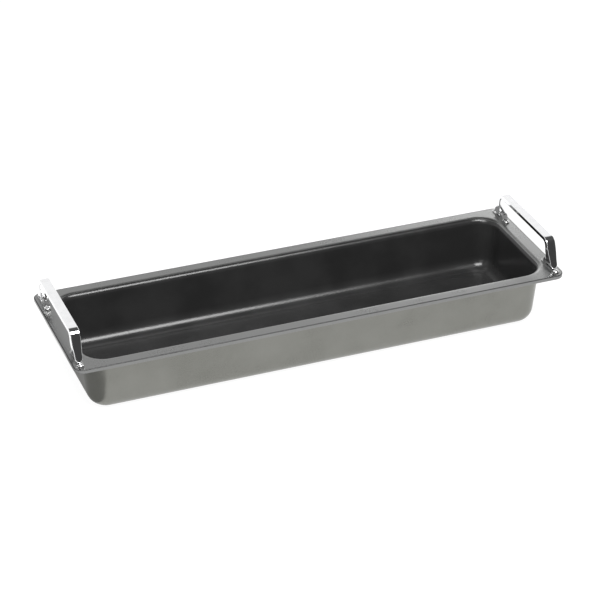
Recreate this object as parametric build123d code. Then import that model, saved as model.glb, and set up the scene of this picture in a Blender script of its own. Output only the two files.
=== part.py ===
"""Cast aluminium baguette tray of Gastronorm 2/4 size, with a folding bow handle at each end.

The origin is the middle of the underside. X runs along the tray, Y across it and Z up.
The front is towards -Y and the left end towards -X. All lengths are in millimetres.
"""
import os
from math import cos, radians, tan

from build123d import *

# Rim: the Gastronorm 2/4 outline
RIM_LENGTH = 530.0
RIM_WIDTH = 162.0
RIM_THICKNESS = 4.5
RIM_CORNER_RADIUS = 10.0
RIM_TOP_EDGE_RADIUS = 0.6
RIM_LOWER_EDGE_RADIUS = 1.0

# Tub under the rim
TRAY_HEIGHT = 65.0
END_OVERHANG = 14.5
SIDE_OVERHANG = 13.0
BODY_CORNER_RADIUS = 25.0
DRAFT_ANGLE = 5.6
WALL = 3.5
BASE_THICKNESS = 9.0
OUTER_BOTTOM_RADIUS = 17.0
LIP_RADIUS = 6.5
UNDER_RIM_RADIUS = 4.0

# Bow handle: a flat grip on two splayed legs that thicken towards the hinges
GRIP_HEIGHT = 32.0
STRAP_THICKNESS = 4.8
GRIP_WIDTH = 10.0
EYE_RADIUS = 4.0
LEG_SPLAY = 24.0
LEG_INNER_SPLAY = 8.0
GRIP_BEND_RADIUS = 10.0
STRAP_EDGE_RADIUS = 0.8
PIN_DIAMETER = 4.0
PIN_LENGTH = 5.5
PIN_CHAMFER = 0.4

# Where the hinges stand on the rim
PIVOT_INSET = 7.3
LEG_INSET = 12.9

# Hinge bracket: a riveted sole with a knuckle and a sloping web
SOLE_THICKNESS = 1.2
SOLE_WIDTH = 6.4
KNUCKLE_LENGTH = 4.6
WEB_LENGTH = 2.4
RIVET_MARGIN = 2.9

# Rivets through the sole and the rim
RIVET_DIAMETER = 3.2
RIVET_HEAD_DIAMETER = 5.2
RIVET_HEAD_HEIGHT = 1.4
COUNTERSINK_DIAMETER = 5.2
COUNTERSINK_DEPTH = 1.0

# Clearances
PIN_CLEARANCE = 0.05
PIN_END_CLEARANCE = 0.5
EYE_SIDE_CLEARANCE = 0.3
EYE_SOLE_CLEARANCE = 0.5
RIVET_CLEARANCE = 0.05

# Worked out from the sizes above
BODY_LENGTH = RIM_LENGTH - 2 * END_OVERHANG
BODY_WIDTH = RIM_WIDTH - 2 * SIDE_OVERHANG
PIVOT_X = RIM_LENGTH / 2 - PIVOT_INSET
PIVOT_Z = TRAY_HEIGHT + SOLE_THICKNESS + EYE_SOLE_CLEARANCE + EYE_RADIUS
GRIP_TOP = TRAY_HEIGHT + GRIP_HEIGHT - PIVOT_Z
GRIP_UNDERSIDE = GRIP_TOP - STRAP_THICKNESS
LEG_SLOPE = tan(radians(LEG_SPLAY))
LEG_INNER_SLOPE = tan(radians(LEG_INNER_SPLAY))
LEG_OUTER = RIM_WIDTH / 2 - LEG_INSET
SHOULDER_INNER = LEG_OUTER - GRIP_UNDERSIDE * LEG_SLOPE - STRAP_THICKNESS / cos(radians(LEG_SPLAY))
LEG_INNER = SHOULDER_INNER + GRIP_UNDERSIDE * LEG_INNER_SLOPE
FOOT_THICKNESS = LEG_OUTER - LEG_INNER
KNUCKLE_OUTER = LEG_INNER - SOLE_WIDTH / 2 * LEG_INNER_SLOPE - EYE_SIDE_CLEARANCE
KNUCKLE_INNER = KNUCKLE_OUTER - KNUCKLE_LENGTH
WEB_INNER = KNUCKLE_INNER - WEB_LENGTH
INNER_RIVET = WEB_INNER - RIVET_MARGIN
OUTER_RIVET = LEG_OUTER + EYE_RADIUS * LEG_SLOPE + EYE_SIDE_CLEARANCE + RIVET_HEAD_DIAMETER / 2

ENDS = {"left": -1, "right": 1}
SIDES = {"front": -1, "rear": 1}


def tapered_tub(length, width, corner_radius, depth, bottom_radius):
    """A drafted block that hangs from the rim's top plane, rounded along its bottom edge."""
    outline = RectangleRounded(length, width, corner_radius)
    block = Pos(0, 0, TRAY_HEIGHT) * extrude(outline, amount=depth, dir=(0, 0, -1), taper=DRAFT_ANGLE)
    return fillet(block.faces().sort_by(Axis.Z)[0].edges(), bottom_radius)


def edges_at(solid, height, length):
    """The ring of edges at one height that lies inside the given length."""
    ring = solid.edges().filter_by_position(Axis.Z, height - 0.01, height + 0.01)
    return ring.filter_by_position(Axis.X, -length / 2, length / 2)


def rivet_places(end, side):
    """Middle of each of a bracket's two rivets on the rim's top plane."""
    return [(end * PIVOT_X, side * y) for y in (INNER_RIVET, OUTER_RIVET)]


def make_countersink():
    """The cone at the rim's underside that lets a rivet end flush with it."""
    cone = Cone(COUNTERSINK_DIAMETER / 2, RIVET_DIAMETER / 2, COUNTERSINK_DEPTH)
    return Pos(0, 0, COUNTERSINK_DEPTH / 2 - RIM_THICKNESS) * cone


def make_tray():
    """The cast tub and its rim, with the rivet holes countersunk from below."""
    body = tapered_tub(BODY_LENGTH, BODY_WIDTH, BODY_CORNER_RADIUS, TRAY_HEIGHT, OUTER_BOTTOM_RADIUS)
    rim_outline = RectangleRounded(RIM_LENGTH, RIM_WIDTH, RIM_CORNER_RADIUS)
    rim_underside = TRAY_HEIGHT - RIM_THICKNESS
    rim = Pos(0, 0, rim_underside) * extrude(rim_outline, amount=RIM_THICKNESS)
    rim = fillet(rim.faces().sort_by(Axis.Z)[-1].edges(), RIM_TOP_EDGE_RADIUS)
    rim = fillet(rim.faces().sort_by(Axis.Z)[0].edges(), RIM_LOWER_EDGE_RADIUS)
    tray = body + rim
    tray = fillet(edges_at(tray, rim_underside, BODY_LENGTH), UNDER_RIM_RADIUS)
    cavity = tapered_tub(
        BODY_LENGTH - 2 * WALL,
        BODY_WIDTH - 2 * WALL,
        BODY_CORNER_RADIUS - WALL,
        TRAY_HEIGHT - BASE_THICKNESS,
        OUTER_BOTTOM_RADIUS - WALL,
    )
    tray = tray - cavity
    tray = fillet(edges_at(tray, TRAY_HEIGHT, BODY_LENGTH), LIP_RADIUS)
    hole = Cylinder(RIVET_DIAMETER / 2 + RIVET_CLEARANCE, 3 * RIM_THICKNESS) + make_countersink()
    for end in ENDS.values():
        for side in SIDES.values():
            for x, y in rivet_places(end, side):
                tray = tray - Pos(x, y, TRAY_HEIGHT) * hole
    return tray


def leg_line(hinge_y, slope, height):
    """Foot and shoulder of one face of a leg, from its place at the hinge's height."""
    foot = (hinge_y + EYE_RADIUS * slope, -EYE_RADIUS)
    shoulder = (hinge_y - height * slope, height)
    return [foot, shoulder]


def bend(solid, y, z, radius):
    """Round the strap's two mirrored corners that run along X at this height."""
    lines = solid.edges().filter_by(Axis.X).filter_by_position(Axis.Z, z - 0.01, z + 0.01)
    corners = [e for e in lines if abs(abs(e.center().Y) - y) < 0.01]
    return fillet(corners, radius)


def make_strap():
    """A flat grip, two bends and two splayed legs that thicken downwards, all of one width."""
    outer = leg_line(LEG_OUTER, LEG_SLOPE, GRIP_TOP)
    inner = leg_line(LEG_INNER, LEG_INNER_SLOPE, GRIP_UNDERSIDE)
    arch = outer + [(-y, z) for y, z in reversed(outer)]
    hollow = [(-y, z) for y, z in inner] + list(reversed(inner))
    section = make_face(Plane.YZ * Polyline(*arch, *hollow, close=True))
    strap = extrude(section, amount=GRIP_WIDTH / 2, both=True)
    strap = bend(strap, *outer[1], GRIP_BEND_RADIUS)
    return bend(strap, *inner[1], GRIP_BEND_RADIUS - STRAP_THICKNESS)


def make_leg_taper():
    """What the strap is trimmed to along the tray: full width above, a round eye below."""
    shoulder_z = GRIP_TOP - GRIP_BEND_RADIUS
    half_grip = GRIP_WIDTH / 2
    outline = [
        Spline((EYE_RADIUS, 0), (half_grip, shoulder_z), tangents=((0, 1), (0, 1))),
        Line((half_grip, shoulder_z), (half_grip, GRIP_TOP)),
        Line((half_grip, GRIP_TOP), (-half_grip, GRIP_TOP)),
        Line((-half_grip, GRIP_TOP), (-half_grip, shoulder_z)),
        Spline((-half_grip, shoulder_z), (-EYE_RADIUS, 0), tangents=((0, -1), (0, -1))),
        ThreePointArc((-EYE_RADIUS, 0), (0, -EYE_RADIUS), (EYE_RADIUS, 0)),
    ]
    plate = Face(Wire([line.edge() for line in outline]))
    return extrude(Plane.XZ * plate, amount=RIM_WIDTH / 2, both=True)


def is_border(edge):
    """True for the edges that run along the strap's sides and round its eyes."""
    along = edge.tangent_at(0.5)
    crosses_face = abs(along.X) > 0.99
    crosses_side = abs(along.Y) > 0.99 and edge.length < 2 * FOOT_THICKNESS
    return edge.geom_type == GeomType.ELLIPSE or not (crosses_face or crosses_side)


def make_handle(end):
    """The bow handle of one end, with the hinge pins that point inwards from its legs."""
    handle = make_strap() & make_leg_taper()
    handle = fillet([e for e in handle.edges() if is_border(e)], STRAP_EDGE_RADIUS)
    root = FOOT_THICKNESS / 2
    pin = Cylinder(PIN_DIAMETER / 2, PIN_LENGTH + root)
    pin = chamfer(pin.faces().sort_by(Axis.Z)[-1].edges(), PIN_CHAMFER)
    middle = LEG_INNER + root - (PIN_LENGTH + root) / 2
    for side in SIDES.values():
        handle = handle + Pos(0, side * middle, 0) * Rot(side * 90, 0, 0) * pin
    return Pos(end * PIVOT_X, 0, PIVOT_Z) * handle


def turned_to(side, shape):
    """A shape made for the rear side, turned half round for the front one."""
    return shape if side > 0 else Rot(0, 0, 180) * shape


def make_bracket(end, side):
    """A sole with the knuckle that holds the pin and a web that slopes down to the sole."""
    axis_z = PIVOT_Z - TRAY_HEIGHT
    half_width = SOLE_WIDTH / 2
    rivet_span = OUTER_RIVET - INNER_RIVET
    slot = Rot(0, 0, 90) * SlotCenterToCenter(rivet_span, SOLE_WIDTH)
    sole = Pos(0, (INNER_RIVET + OUTER_RIVET) / 2, 0) * extrude(slot, amount=SOLE_THICKNESS)
    arch = make_face(Plane.XZ * (Pos(0, axis_z / 2) * Rectangle(SOLE_WIDTH, axis_z)).wire())
    arch = arch + Plane.XZ * (Pos(0, axis_z) * Circle(half_width))
    ridge = extrude(arch, amount=KNUCKLE_OUTER, dir=(0, 1, 0))
    side_view = Polyline(
        (KNUCKLE_OUTER, 0),
        (KNUCKLE_OUTER, axis_z + half_width),
        (KNUCKLE_INNER, axis_z + half_width),
        (WEB_INNER, SOLE_THICKNESS),
        (WEB_INNER, 0),
        close=True,
    )
    wedge = extrude(make_face(Plane.YZ * side_view), amount=half_width, both=True)
    bracket = sole + (ridge & wedge)
    bore_depth = PIN_LENGTH - (LEG_INNER - KNUCKLE_OUTER) + PIN_END_CLEARANCE
    bore = Rot(90, 0, 0) * Cylinder(PIN_DIAMETER / 2 + PIN_CLEARANCE, bore_depth)
    bracket = bracket - Pos(0, KNUCKLE_OUTER - bore_depth / 2, axis_z) * bore
    hole = Cylinder(RIVET_DIAMETER / 2 + RIVET_CLEARANCE, 3 * SOLE_THICKNESS)
    for y in (INNER_RIVET, OUTER_RIVET):
        bracket = bracket - Pos(0, y, 0) * hole
    return Pos(end * PIVOT_X, 0, TRAY_HEIGHT) * turned_to(side, bracket)


def make_rivet(x, y):
    """A round-headed rivet through a bracket's sole and the rim, countersunk flush below."""
    head_radius = RIVET_HEAD_DIAMETER / 2
    dome_radius = (head_radius**2 + RIVET_HEAD_HEIGHT**2) / (2 * RIVET_HEAD_HEIGHT)
    ball = Pos(0, 0, RIVET_HEAD_HEIGHT - dome_radius) * Sphere(dome_radius)
    slab = Pos(0, 0, RIVET_HEAD_HEIGHT / 2) * Cylinder(2 * head_radius, RIVET_HEAD_HEIGHT)
    head = ball & slab
    grip_length = SOLE_THICKNESS + RIM_THICKNESS
    shank = Pos(0, 0, SOLE_THICKNESS - grip_length / 2) * Cylinder(RIVET_DIAMETER / 2, grip_length)
    rivet = shank + Pos(0, 0, SOLE_THICKNESS) * head + make_countersink()
    return Pos(x, y, TRAY_HEIGHT) * rivet


def build():
    """Every piece of the tray, by node name."""
    pieces = {"tray_body": make_tray()}
    for end_name, end in ENDS.items():
        pieces[f"{end_name}_handle"] = make_handle(end)
        for side_name, side in SIDES.items():
            place = f"{end_name}_{side_name}"
            pieces[f"{place}_bracket"] = make_bracket(end, side)
            for rivet_name, (x, y) in zip(("inner", "outer"), rivet_places(end, side)):
                pieces[f"{place}_{rivet_name}_rivet"] = make_rivet(x, y)
    return pieces


os.makedirs("parts", exist_ok=True)
for node, piece in build().items():
    export_step(piece, f"parts/{node}.step")
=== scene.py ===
"""Finish, floor, light and camera of a cast baguette tray with two folding bow handles."""

from math import radians, tan

import bpy
from mathutils import Matrix, Vector


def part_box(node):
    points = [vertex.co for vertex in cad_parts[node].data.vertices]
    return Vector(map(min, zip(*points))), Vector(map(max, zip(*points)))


bl_info = {
    "name": "Baguette Tray Finish",
    "version": (1, 0, 0),
    "blender": (4, 5, 0),
    "location": "3D Viewport > Sidebar > Tray",
    "description": "Gives a cast baguette tray its metals, its non-stick coating and its studio",
    "category": "Material",
}

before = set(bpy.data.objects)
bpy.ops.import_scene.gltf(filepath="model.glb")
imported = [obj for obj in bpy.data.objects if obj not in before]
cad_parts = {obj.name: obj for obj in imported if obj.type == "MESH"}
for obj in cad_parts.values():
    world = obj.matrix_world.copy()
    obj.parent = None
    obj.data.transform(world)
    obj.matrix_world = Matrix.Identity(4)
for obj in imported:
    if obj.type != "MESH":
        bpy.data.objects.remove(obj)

MILLIMETRE = 0.001
TRAY_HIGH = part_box("tray_body")[1]

# Shape of the tub, in metres, that the edge of the non-stick coating follows
END_OVERHANG = 14.5 * MILLIMETRE
SIDE_OVERHANG = 13.0 * MILLIMETRE
TUB_CORNER_RADIUS = 25.0 * MILLIMETRE
RIM_CORNER_RADIUS = 10.0 * MILLIMETRE
RIM_UNDERSIDE = TRAY_HIGH.z - 4.5 * MILLIMETRE
WALL = 3.5 * MILLIMETRE
BASE = 9.0 * MILLIMETRE
BOTTOM_RADIUS = 17.0 * MILLIMETRE
DRAFT = tan(radians(5.6))

# Where the coating begins on the lip, and how far it drops at the tray's ends
LIP_DROP = 0.35 * MILLIMETRE
LIP_REACH = 4.2 * MILLIMETRE
END_DROP = 0.9 * MILLIMETRE
END_DROP_RUN = (TRAY_HIGH.x - 50.0 * MILLIMETRE, TRAY_HIGH.x - 22.0 * MILLIMETRE)
COATING_WANDER = 0.3 * MILLIMETRE
COATING_BLUR = 0.15 * MILLIMETRE
TUB_BLUR = 0.6 * MILLIMETRE
RIM_BLUR = 0.2 * MILLIMETRE
TONE_BLUR = 0.5 * MILLIMETRE

# The painted dark line round the rim's outer top edge, a painted reflection of the dark surround
# that the edge mirrors: where it starts and is full, inwards and down from the edge
DARK_EDGE_INWARDS = (1.3 * MILLIMETRE, 0.7 * MILLIMETRE)
DARK_EDGE_DOWN = (1.0 * MILLIMETRE, 0.5 * MILLIMETRE)
DARK_EDGE_TONE = 0.07
DARK_EDGE_ROUGHNESS = 0.25

# Sizes of the patterns in the finishes
WANDER_GRAIN = 12.0 * MILLIMETRE
CLOUD_GRAIN = 45.0 * MILLIMETRE
PEEL_GRAIN = 2.2 * MILLIMETRE
GRIT_GRAIN = 0.6 * MILLIMETRE
SMEAR_GRAIN = 9.0 * MILLIMETRE
POLISH_LINE_WIDTH = 0.25 * MILLIMETRE
POLISH_LINE_STRETCH = 40.0
POLISH_LINE_DEPTH = 0.004 * MILLIMETRE

# How dark the surround is overhead and in front, and the heights of a unit
# direction between which it darkens
OVERHEAD_DARKNESS = 0.92
OVERHEAD_RUN = (0.62, 0.82)
FRONT_DARKNESS = 0.95
FRONT_RUN = (0.05, -0.35)
HORIZON_RUN = (0.0, 0.15)

FLOOR_SIZE = 40.0
# A dark card, unseen by the camera, that puts painted shade on the floor at the tray's left end
# for reflections only
SHADE_CARD_PLACE = (-0.300, -0.030, 0.0004)
SHADE_CARD_SIZE = (0.120, 0.170)


class Value:
    """A number that varies over a surface. Arithmetic on it adds Math nodes."""

    def __init__(self, graph, socket):
        self.graph = graph
        self.socket = socket

    def math(self, operation, first, second=0.0):
        """One Math node, as a new value."""
        return self.graph.value("ShaderNodeMath", {"operation": operation}, {0: first, 1: second})

    def __add__(self, other):
        return self.math("ADD", self, other)

    def __sub__(self, other):
        return self.math("SUBTRACT", self, other)

    def __rsub__(self, other):
        return self.math("SUBTRACT", other, self)

    def __mul__(self, other):
        return self.math("MULTIPLY", self, other)

    def __pow__(self, other):
        return self.math("POWER", self, other)

    def __abs__(self):
        return self.math("ABSOLUTE", self)

    __radd__ = __add__
    __rmul__ = __mul__

    def at_least(self, other):
        """The larger of two values."""
        return self.math("MAXIMUM", self, other)

    def at_most(self, other):
        """The smaller of two values."""
        return self.math("MINIMUM", self, other)

    def step(self, start, end):
        """0 at start and 1 at end, with a smooth run between them."""
        settings = {"interpolation_type": "SMOOTHSTEP", "clamp": True}
        sockets = {0: self, 1: start, 2: end, 3: 0.0, 4: 1.0}
        return self.graph.value("ShaderNodeMapRange", settings, sockets)


class Graph:
    """The nodes of one material or world."""

    def __init__(self, owner):
        owner.use_nodes = True
        self.tree = owner.node_tree
        self.tree.nodes.clear()

    def node(self, kind, settings=None, sockets=None):
        """A new node with its settings, then the values or links of its sockets."""
        node = self.tree.nodes.new(kind)
        for name, setting in (settings or {}).items():
            setattr(node, name, setting)
        for key, content in (sockets or {}).items():
            if isinstance(content, Value):
                self.tree.links.new(content.socket, node.inputs[key])
            else:
                node.inputs[key].default_value = content
        return node

    def value(self, kind, settings=None, sockets=None, output=0):
        """The same, as a value."""
        return Value(self, self.node(kind, settings, sockets).outputs[output])

    def place(self):
        """Object coordinates, as a vector."""
        return self.value("ShaderNodeTexCoord", output="Object")

    def axes(self, vector):
        """A vector's three parts."""
        node = self.node("ShaderNodeSeparateXYZ", None, {0: vector})
        return [Value(self, output) for output in node.outputs]

    def noise(self, vector, grain, detail=2.0, stretch=(1.0, 1.0, 1.0)):
        """Noise around 0.5 with features of about one grain, in metres, longer where stretched."""
        scale = [1.0 / (grain * part) for part in stretch]
        mapped = self.value("ShaderNodeMapping", None, {"Vector": vector, "Scale": scale})
        sockets = {"Vector": mapped, "Scale": 1.0, "Detail": detail}
        return self.value("ShaderNodeTexNoise", {"noise_dimensions": "3D"}, sockets)

    def blend(self, mask, first, second):
        """The first colour where the mask is 0 and the second where it is 1."""
        settings = {"data_type": "RGBA"}
        sockets = {0: mask, 6: first, 7: second}
        return self.value("ShaderNodeMix", settings, sockets, output=2)

    def bump(self, height, depth):
        """A normal roughened by a height from 0 to 1 that stands for a depth in metres."""
        sockets = {"Height": height, "Strength": 1.0, "Distance": depth}
        return self.value("ShaderNodeBump", None, sockets)

    def surface(self, sockets):
        """Finish a material with one Principled BSDF."""
        shader = self.value("ShaderNodeBsdfPrincipled", None, sockets)
        self.node("ShaderNodeOutputMaterial", None, {"Surface": shader})


def grey(level, warmth=0.0):
    """A nearly neutral colour, a little yellow when warm."""
    return (level * (1 + warmth), level, level * (1 - 2 * warmth), 1.0)


def new_material(name):
    """A material of that name with an empty graph."""
    material = bpy.data.materials.new(name)
    return material, Graph(material)


def finish_nodes(material, names):
    """Give these nodes a material through their own slots."""
    for name in names:
        for material_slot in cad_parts[name].material_slots:
            material_slot.material = material


def nodes_ending(suffix):
    """Names of the nodes of one kind of piece."""
    return sorted(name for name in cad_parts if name.endswith(suffix))


def past_core(x, y, half_length, half_width):
    """How far outside a rectangle round the middle a point lies, seen from above."""
    along = (abs(x) - half_length).at_least(0.0)
    across = (abs(y) - half_width).at_least(0.0)
    return (along * along + across * across) ** 0.5


def tub_distance(x, y, z):
    """How far outside the middle of the tub's wall and base a point lies, in metres."""
    radius = TUB_CORNER_RADIUS - ((TRAY_HIGH.z - z) * DRAFT + WALL / 2)
    half_length = TRAY_HIGH.x - END_OVERHANG - TUB_CORNER_RADIUS
    half_width = TRAY_HIGH.y - SIDE_OVERHANG - TUB_CORNER_RADIUS
    round_off = BOTTOM_RADIUS - WALL / 2
    wall = past_core(x, y, half_length, half_width) - radius + round_off
    floor = BASE / 2 + round_off - z
    edge = (wall.at_least(0.0) ** 2 + floor.at_least(0.0) ** 2) ** 0.5
    return edge + wall.at_least(floor).at_most(0.0) - round_off


def coating_mask(graph, place):
    """1 on the coated inside of the tub, which begins where the lip turns down."""
    x, y, z = graph.axes(place)
    wander = (graph.noise(place, WANDER_GRAIN, 3.0) - 0.5) * COATING_WANDER
    at_end = abs(x).step(*END_DROP_RUN)
    depth = TRAY_HIGH.z - LIP_DROP - at_end * END_DROP - (z + wander)
    below_lip = depth.step(-COATING_BLUR, COATING_BLUR)
    outwards = tub_distance(x, y, z)
    inside_lip = outwards.step(LIP_REACH + TUB_BLUR, LIP_REACH - TUB_BLUR)
    inside_tub = outwards.step(TUB_BLUR, -TUB_BLUR)
    beside_rim = z.step(RIM_UNDERSIDE, RIM_UNDERSIDE + RIM_BLUR)
    return below_lip * (inside_lip * beside_rim).at_least(inside_tub)


def painted_dark_edge_mask(graph, place):
    """1 in a narrow line round the rim's outer top edge, where a painted dark reflection darkens
    and dulls the finish.
    """
    x, y, z = graph.axes(place)
    half_length = TRAY_HIGH.x - RIM_CORNER_RADIUS
    half_width = TRAY_HIGH.y - RIM_CORNER_RADIUS
    inwards = RIM_CORNER_RADIUS - past_core(x, y, half_length, half_width)
    return inwards.step(*DARK_EDGE_INWARDS) * (TRAY_HIGH.z - z).step(*DARK_EDGE_DOWN)


def make_tray_finish(settings):
    """Satin cast metal outside and a glossy black non-stick coating inside."""
    material, graph = new_material("tray_finish")
    place = graph.place()
    _, _, z = graph.axes(place)
    coated = coating_mask(graph, place)
    bare = 1.0 - coated
    painted_dark_edge = painted_dark_edge_mask(graph, place)
    on_wall = z.step(RIM_UNDERSIDE + TONE_BLUR, RIM_UNDERSIDE - TONE_BLUR)
    peel = graph.noise(place, PEEL_GRAIN, 2.0)
    grit = graph.noise(place, GRIT_GRAIN, 3.0)
    clouds = graph.noise(place, CLOUD_GRAIN, 3.0)
    tone = (clouds * 0.6 + grit * 0.4).step(0.25, 0.75)
    rim = graph.blend(tone, settings.metal_dark, settings.metal_light)
    wall = graph.blend(tone, settings.wall_dark, settings.wall_light)
    # The rim's outer top edge gets its painted dark line here, a painted reflection of the dark
    # surround.
    metal = graph.blend(painted_dark_edge, graph.blend(on_wall, rim, wall), grey(DARK_EDGE_TONE))
    black = graph.blend(clouds.step(0.3, 0.7), settings.coating_dark, settings.coating_light)
    patchy = clouds - 0.5
    metal_roughness = settings.metal_roughness + patchy * 0.10 + (grit - 0.5) * 0.08
    metal_roughness = metal_roughness + painted_dark_edge * DARK_EDGE_ROUGHNESS
    coating_roughness = settings.coating_roughness + patchy * 0.08
    graph.surface(
        {
            "Base Color": graph.blend(coated, metal, black),
            "Metallic": bare,
            "Roughness": metal_roughness * bare + coating_roughness * coated,
            "Specular IOR Level": settings.coating_gloss,
            "Normal": graph.bump(peel * 0.7 + grit * 0.3, settings.peel_depth),
        }
    )
    return material


def make_polished_finish(name, light, dark, along, roughness):
    """Polished metal with the faint lines of its last polish along one axis."""
    material, graph = new_material(name)
    place = graph.place()
    stretch = [1.0, 1.0, 1.0]
    stretch["XYZ".index(along)] = POLISH_LINE_STRETCH
    lines = graph.noise(place, POLISH_LINE_WIDTH, 2.0, stretch)
    smears = graph.noise(place, SMEAR_GRAIN, 4.0)
    smeared = (smears - 0.5).at_least(0.0)
    graph.surface(
        {
            "Base Color": graph.blend(smears.step(0.35, 0.7), light, dark),
            "Metallic": 1.0,
            "Roughness": roughness + smeared * 0.25 + (lines - 0.5) * 0.04,
            "Normal": graph.bump(lines, POLISH_LINE_DEPTH),
        }
    )
    return material


class TrayFinishSettings(bpy.types.PropertyGroup):
    """Colours and gloss of the tray's finishes."""

    metal_light: bpy.props.FloatVectorProperty(
        name="Metal, light",
        description="Lighter tone of the rim's satin metal",
        subtype="COLOR",
        size=4,
        default=(0.240, 0.242, 0.240, 1.0),
    )
    metal_dark: bpy.props.FloatVectorProperty(
        name="Metal, dark",
        description="Darker tone of the rim's satin metal",
        subtype="COLOR",
        size=4,
        default=(0.212, 0.214, 0.212, 1.0),
    )
    wall_light: bpy.props.FloatVectorProperty(
        name="Wall, light",
        description="Lighter tone of the tub's cast outside",
        subtype="COLOR",
        size=4,
        default=(0.226, 0.227, 0.210, 1.0),
    )
    wall_dark: bpy.props.FloatVectorProperty(
        name="Wall, dark",
        description="Darker tone of the tub's cast outside",
        subtype="COLOR",
        size=4,
        default=(0.178, 0.179, 0.163, 1.0),
    )
    metal_roughness: bpy.props.FloatProperty(
        name="Metal roughness", description="Roughness of the outside", default=0.29
    )
    coating_light: bpy.props.FloatVectorProperty(
        name="Coating, light",
        description="Lighter tone of the non-stick coating",
        subtype="COLOR",
        size=4,
        default=grey(0.019),
    )
    coating_dark: bpy.props.FloatVectorProperty(
        name="Coating, dark",
        description="Darker tone of the non-stick coating",
        subtype="COLOR",
        size=4,
        default=grey(0.013),
    )
    coating_roughness: bpy.props.FloatProperty(
        name="Coating roughness", description="Roughness of the non-stick coating", default=0.245
    )
    coating_gloss: bpy.props.FloatProperty(
        name="Coating gloss", description="Strength of the coating's reflections", default=0.3
    )
    peel_depth: bpy.props.FloatProperty(
        name="Surface grain",
        description="Depth of the fine orange peel of the finish",
        unit="LENGTH",
        precision=6,
        default=0.00006,
    )
    chrome_light: bpy.props.FloatVectorProperty(
        name="Chrome, light",
        description="Clean polished metal",
        subtype="COLOR",
        size=4,
        default=grey(0.90, -0.004),
    )
    chrome_dark: bpy.props.FloatVectorProperty(
        name="Chrome, dark",
        description="Polished metal where it has been handled",
        subtype="COLOR",
        size=4,
        default=grey(0.85, -0.004),
    )
    steel_light: bpy.props.FloatVectorProperty(
        name="Steel, light",
        description="Clean steel of the brackets and the rivets",
        subtype="COLOR",
        size=4,
        default=grey(0.50),
    )
    steel_dark: bpy.props.FloatVectorProperty(
        name="Steel, dark",
        description="Tarnished steel of the brackets and the rivets",
        subtype="COLOR",
        size=4,
        default=grey(0.34),
    )
    chrome_roughness: bpy.props.FloatProperty(
        name="Chrome roughness", description="Roughness of the polished handles", default=0.08
    )
    bracket_roughness: bpy.props.FloatProperty(
        name="Bracket roughness", description="Roughness of the hinge brackets", default=0.26
    )
    rivet_roughness: bpy.props.FloatProperty(
        name="Rivet roughness", description="Roughness of the rivets", default=0.22
    )


class TrayStudioSettings(bpy.types.PropertyGroup):
    """Floor, light and camera."""

    floor_tone: bpy.props.FloatProperty(
        name="Floor tone", description="Paleness of the floor", default=0.12
    )
    floor_glow: bpy.props.FloatProperty(
        name="Floor glow", description="Light that the floor adds of its own", default=0.94
    )
    sky_strength: bpy.props.FloatProperty(
        name="Sky strength", description="Brightness of the white surround", default=1.0
    )
    front_power: bpy.props.FloatProperty(
        name="Front softbox",
        description="Power of the softbox in front",
        unit="POWER",
        default=59.0,
    )
    back_power: bpy.props.FloatProperty(
        name="Back light",
        description="Power of the strip behind the tray",
        unit="POWER",
        default=0.8,
    )
    fill_power: bpy.props.FloatProperty(
        name="Left fill",
        description="Power of the softbox on the left",
        unit="POWER",
        default=5.0,
    )
    # Glow of the dark card that serves as painted shade in the reflections at the left end
    shade_card_glow: bpy.props.FloatProperty(
        name="Dark card", description="Light of the card that darkens the left end", default=0.42
    )
    camera_azimuth: bpy.props.FloatProperty(
        name="Camera azimuth",
        description="Turn of the camera round the tray",
        unit="ROTATION",
        default=radians(-21.2789),
    )
    camera_elevation: bpy.props.FloatProperty(
        name="Camera elevation",
        description="Height of the camera above the horizon",
        unit="ROTATION",
        default=radians(30.0725),
    )
    camera_offset: bpy.props.FloatVectorProperty(
        name="Camera offset",
        description="Middle of the rim as the camera sees it: right, up and away",
        unit="LENGTH",
        default=(0.0008026, 0.0163224, 2.2906444),
    )
    lens: bpy.props.FloatProperty(
        name="Lens", description="Focal length on a 36 mm sensor, in millimetres", default=132.858
    )


class TRAY_OT_finish_tray(bpy.types.Operator):
    """Give the tray its satin metal and its non-stick coating"""

    bl_idname = "tray.finish_tray"
    bl_label = "Finish Tray"

    def execute(self, context):
        material = make_tray_finish(context.scene.tray_finish)
        finish_nodes(material, ["tray_body"])
        return {"FINISHED"}


class TRAY_OT_finish_handles(bpy.types.Operator):
    """Polish both handles"""

    bl_idname = "tray.finish_handles"
    bl_label = "Finish Handles"

    def execute(self, context):
        settings = context.scene.tray_finish
        light, dark = settings.chrome_light, settings.chrome_dark
        roughness = settings.chrome_roughness
        material = make_polished_finish("handle_finish", light, dark, "Y", roughness)
        finish_nodes(material, nodes_ending("_handle"))
        return {"FINISHED"}


class TRAY_OT_finish_brackets(bpy.types.Operator):
    """Give the four hinge brackets their plain steel"""

    bl_idname = "tray.finish_brackets"
    bl_label = "Finish Brackets"

    def execute(self, context):
        settings = context.scene.tray_finish
        light, dark = settings.steel_light, settings.steel_dark
        roughness = settings.bracket_roughness
        material = make_polished_finish("bracket_finish", light, dark, "Y", roughness)
        finish_nodes(material, nodes_ending("_bracket"))
        return {"FINISHED"}


class TRAY_OT_finish_rivets(bpy.types.Operator):
    """Give the eight rivets their plain steel"""

    bl_idname = "tray.finish_rivets"
    bl_label = "Finish Rivets"

    def execute(self, context):
        settings = context.scene.tray_finish
        light, dark = settings.steel_light, settings.steel_dark
        roughness = settings.rivet_roughness
        material = make_polished_finish("rivet_finish", light, dark, "Z", roughness)
        finish_nodes(material, nodes_ending("_rivet"))
        return {"FINISHED"}


def make_plane(name, size, place):
    """A square that isn't part of the tray."""
    bpy.ops.object.select_all(action="DESELECT")
    bpy.ops.mesh.primitive_plane_add(size=size, location=place)
    plane = bpy.context.object
    plane.name = name
    return plane


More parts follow.
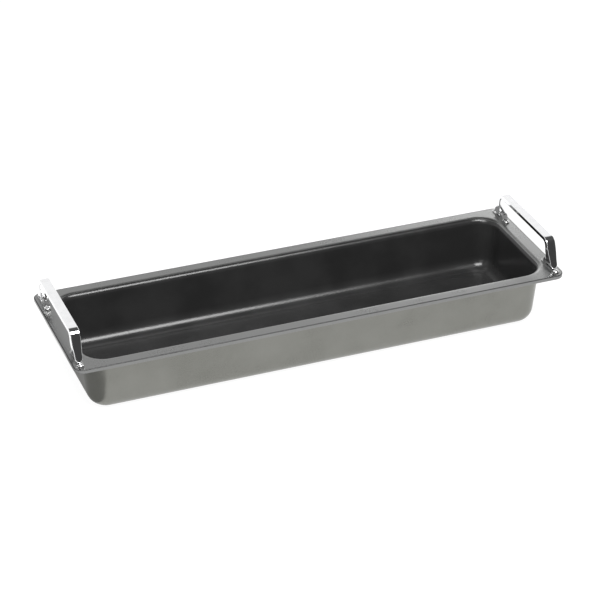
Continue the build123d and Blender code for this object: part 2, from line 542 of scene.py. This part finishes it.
def make_floor(settings):
    """A wide pale floor."""
    floor = make_plane("studio_floor", FLOOR_SIZE, (0.0, 0.0, 0.0))
    material, graph = new_material("floor_paper")
    fibre = graph.noise(graph.place(), 4.0 * MILLIMETRE, 3.0)
    tone = settings.floor_tone
    graph.surface(
        {
            "Base Color": graph.blend(fibre, grey(tone * 0.99), grey(tone)),
            "Roughness": 0.9,
            "Specular IOR Level": 0.1,
            "Emission Color": grey(1.0),
            "Emission Strength": settings.floor_glow,
        }
    )
    floor.data.materials.append(material)


def make_painted_shade_card(settings):
    """A dark card on the floor at the tray's left end, which only reflections show: painted shade
    of the floor beside the left end, seen in the tray's reflections.
    """
    flag = make_plane("painted_shade_card", 1.0, SHADE_CARD_PLACE)
    flag.scale = (*SHADE_CARD_SIZE, 1.0)
    flag.visible_camera = False
    flag.visible_diffuse = False
    flag.visible_shadow = False
    material, graph = new_material("painted_shade_card_finish")
    graph.surface(
        {
            "Base Color": grey(0.02),
            "Roughness": 1.0,
            "Emission Color": grey(1.0),
            "Emission Strength": settings.shade_card_glow,
        }
    )
    flag.data.materials.append(material)


def make_sky(scene, strength):
    """A white surround that darkens overhead and in front."""
    world = bpy.data.worlds.new("studio_surround")
    scene.world = world
    graph = Graph(world)
    direction = graph.value("ShaderNodeTexCoord", output="Generated")
    _, y, z = graph.axes(direction)
    overhead = z.step(*OVERHEAD_RUN) * OVERHEAD_DARKNESS
    front = y.step(*FRONT_RUN) * z.step(*HORIZON_RUN) * FRONT_DARKNESS
    level = (1.0 - overhead.at_least(front)) * strength
    sockets = {"Color": grey(1.0), "Strength": level}
    background = graph.value("ShaderNodeBackground", None, sockets)
    graph.node("ShaderNodeOutputWorld", None, {"Surface": background})


def make_softbox(scene, name, place, size, power):
    """An area light that faces the middle of the rim and isn't seen itself."""
    light = bpy.data.lights.new(name, "AREA")
    light.shape = "RECTANGLE"
    light.size, light.size_y = size
    light.energy = power
    lamp = bpy.data.objects.new(name, light)
    lamp.location = place
    facing = Vector((0.0, 0.0, TRAY_HIGH.z)) - Vector(place)
    lamp.rotation_euler = facing.to_track_quat("-Z", "Y").to_euler()
    lamp.visible_camera = False
    scene.collection.objects.link(lamp)


def make_camera(scene, settings):
    """A long lens that looks down on the tray from the front left."""
    turn = Matrix.Rotation(settings.camera_azimuth, 3, "Z")
    tilt = Matrix.Rotation(radians(90) - settings.camera_elevation, 3, "X")
    axes = turn @ tilt
    right, up, away = settings.camera_offset
    rim_middle = Vector((0.0, 0.0, TRAY_HIGH.z))
    data = bpy.data.cameras.new("studio_camera")
    data.lens = settings.lens
    data.sensor_width = 36.0
    data.clip_end = 100.0
    camera = bpy.data.objects.new("studio_camera", data)
    place = rim_middle - axes @ Vector((right, up, -away))
    camera.matrix_world = Matrix.Translation(place) @ axes.to_4x4()
    scene.collection.objects.link(camera)
    scene.camera = camera


class TRAY_OT_set_stage(bpy.types.Operator):
    """Set the floor, the light and the camera"""

    bl_idname = "tray.set_stage"
    bl_label = "Set Stage"

    def execute(self, context):
        scene = context.scene
        settings = scene.tray_studio
        scene.view_settings.view_transform = "Standard"
        make_floor(settings)
        # The dark card is painted shade for the floor beside the left end, seen only in
        # reflections
        make_painted_shade_card(settings)
        make_sky(scene, settings.sky_strength)
        for name, place, size, power in (
            ("front_softbox", (-0.10, -0.75, 1.45), (1.3, 0.6), settings.front_power),
            ("back_strip", (0.62, 0.60, 0.32), (0.7, 0.14), settings.back_power),
            ("left_fill", (-1.2, -1.3, 0.9), (0.9, 0.9), settings.fill_power),
        ):
            make_softbox(scene, name, place, size, power)
        make_camera(scene, settings)
        return {"FINISHED"}


class TRAY_PT_finish(bpy.types.Panel):
    """Lists the tray's finishes and its studio"""

    bl_idname = "TRAY_PT_finish"
    bl_label = "Baguette Tray"
    bl_space_type = "VIEW_3D"
    bl_region_type = "UI"
    bl_category = "Tray"

    def draw(self, context):
        layout = self.layout
        for group in (context.scene.tray_finish, context.scene.tray_studio):
            box = layout.box()
            for name in group.__annotations__:
                box.prop(group, name)
        for operator in OPERATORS:
            layout.operator(operator.bl_idname)


OPERATORS = (
    TRAY_OT_finish_tray,
    TRAY_OT_finish_handles,
    TRAY_OT_finish_brackets,
    TRAY_OT_finish_rivets,
    TRAY_OT_set_stage,
)
CLASSES = (TrayFinishSettings, TrayStudioSettings, *OPERATORS, TRAY_PT_finish)


def register():
    """Add the settings, the operators and the panel."""
    for cls in CLASSES:
        bpy.utils.register_class(cls)
    bpy.types.Scene.tray_finish = bpy.props.PointerProperty(type=TrayFinishSettings)
    bpy.types.Scene.tray_studio = bpy.props.PointerProperty(type=TrayStudioSettings)


def unregister():
    """Take them away again."""
    del bpy.types.Scene.tray_studio
    del bpy.types.Scene.tray_finish
    for cls in reversed(CLASSES):
        bpy.utils.unregister_class(cls)


def main():
    """Build the whole look in order."""
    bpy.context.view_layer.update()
    register()
    bpy.ops.tray.finish_tray()
    bpy.ops.tray.finish_handles()
    bpy.ops.tray.finish_brackets()
    bpy.ops.tray.finish_rivets()
    bpy.ops.tray.set_stage()


if __name__ == "__main__":
    main()
